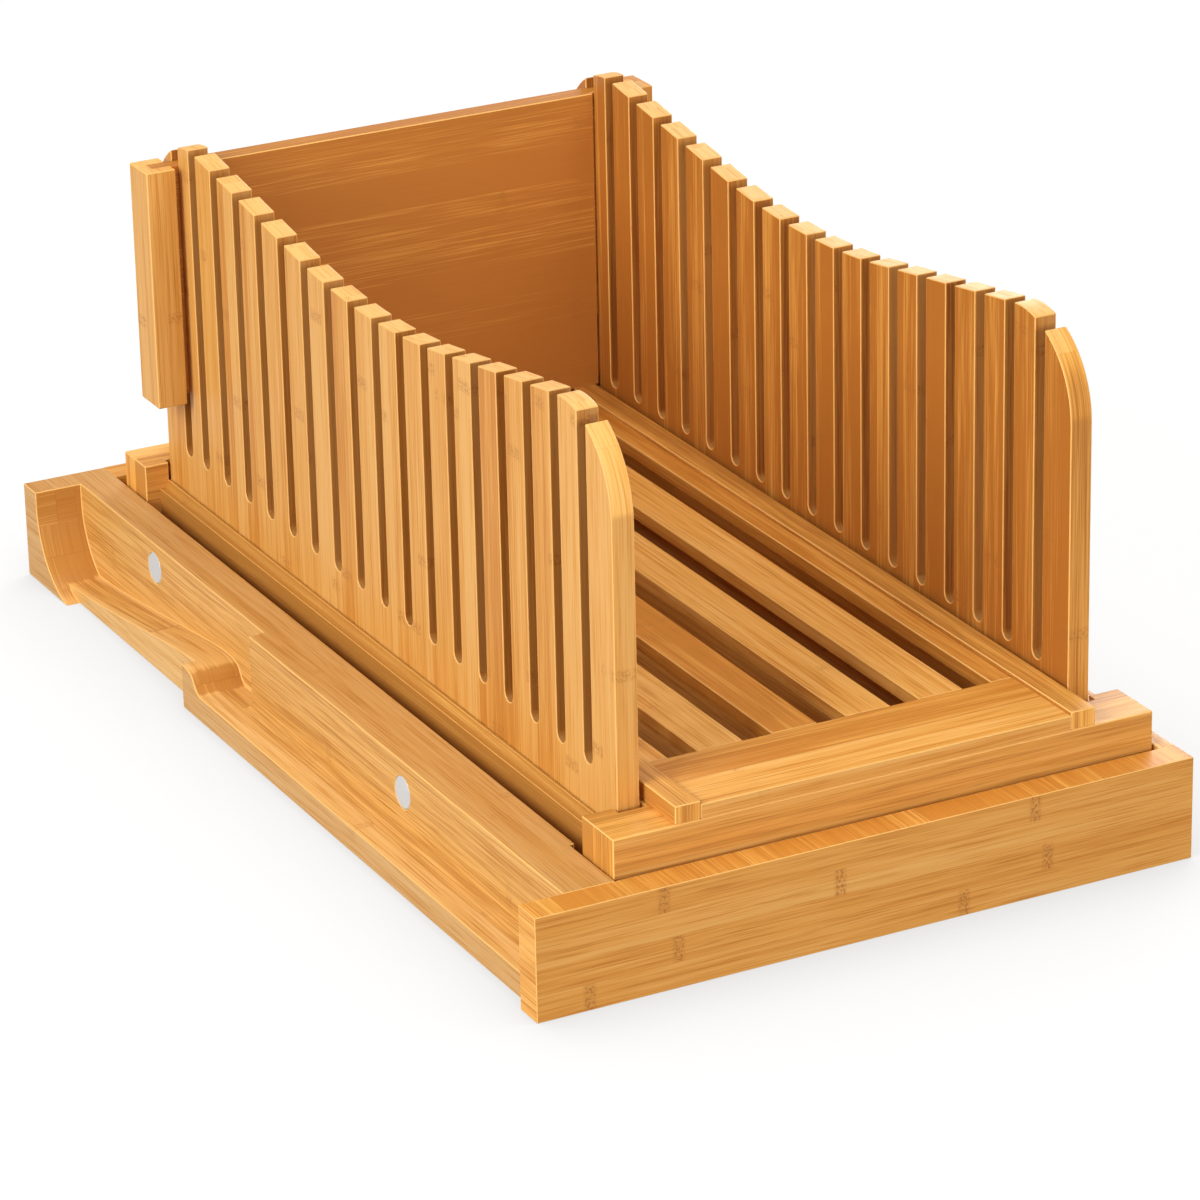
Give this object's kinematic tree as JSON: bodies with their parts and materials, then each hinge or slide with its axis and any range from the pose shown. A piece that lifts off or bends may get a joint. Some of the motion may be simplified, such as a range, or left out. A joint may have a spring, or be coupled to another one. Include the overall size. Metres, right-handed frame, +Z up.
{
  "type": "bread slicer guide",
  "caption": "Bamboo bread slicer guide: slotted side walls and a back board on a slatted bed, standing in a crumb tray with a magnetic knife bay along one side.",
  "frame": {"origin": "middle of the whole object's footprint, on the table under the tray", "axes": "+X across the loaf to the right board, away from the knife bay; +Y along the loaf from the front board to the back board; +Z up"},
  "size_m": [0.21, 0.37, 0.1543],
  "materials": {
    "bamboo": "satin",
    "dowel_wood": "matte",
    "magnet_metal": "satin"
  },
  "bodies": {
    "base_tray": {"knife_block": "bamboo", "front_board": "bamboo", "rear_board": "bamboo", "right_board": "bamboo", "tray_floor": "bamboo", "base_dowels": "dowel_wood", "handle_magnet": "magnet_metal", "blade_magnet": "magnet_metal"},
    "slicer_frame": {"front_rail": "bamboo", "rear_rail": "bamboo", "left_side_rail": "bamboo", "right_side_rail": "bamboo", "frame_dowels": "dowel_wood", "bed_left_stile": "bamboo", "bed_right_stile": "bamboo", "bed_front_board": "bamboo", "bed_rear_board": "bamboo", "bed_slat_1": "bamboo", "bed_slat_2": "bamboo", "bed_slat_3": "bamboo", "bed_slat_4": "bamboo", "bed_slat_5": "bamboo", "bed_slat_6": "bamboo"},
    "left_wall": {"left_wall": "bamboo"},
    "right_wall": {"right_wall": "bamboo"},
    "back_board": {"back_panel": "bamboo", "left_cleat": "bamboo", "right_cleat": "bamboo"}
  },
  "joints": [
    {"name": "frame_lift", "type": "slide", "parent": "base_tray", "child": "slicer_frame", "axis": [0, 0, 1], "range_m": [0, 0.045]},
    {"name": "left_wall_lift", "type": "slide", "parent": "slicer_frame", "child": "left_wall", "axis": [0, 0, 1], "range_m": [0, 0.02]},
    {"name": "right_wall_lift", "type": "slide", "parent": "slicer_frame", "child": "right_wall", "axis": [0, 0, 1], "range_m": [0, 0.02]},
    {"name": "back_board_lift", "type": "slide", "parent": "slicer_frame", "child": "back_board", "axis": [0, 0, 1], "range_m": [0, 0.11]}
  ]
}
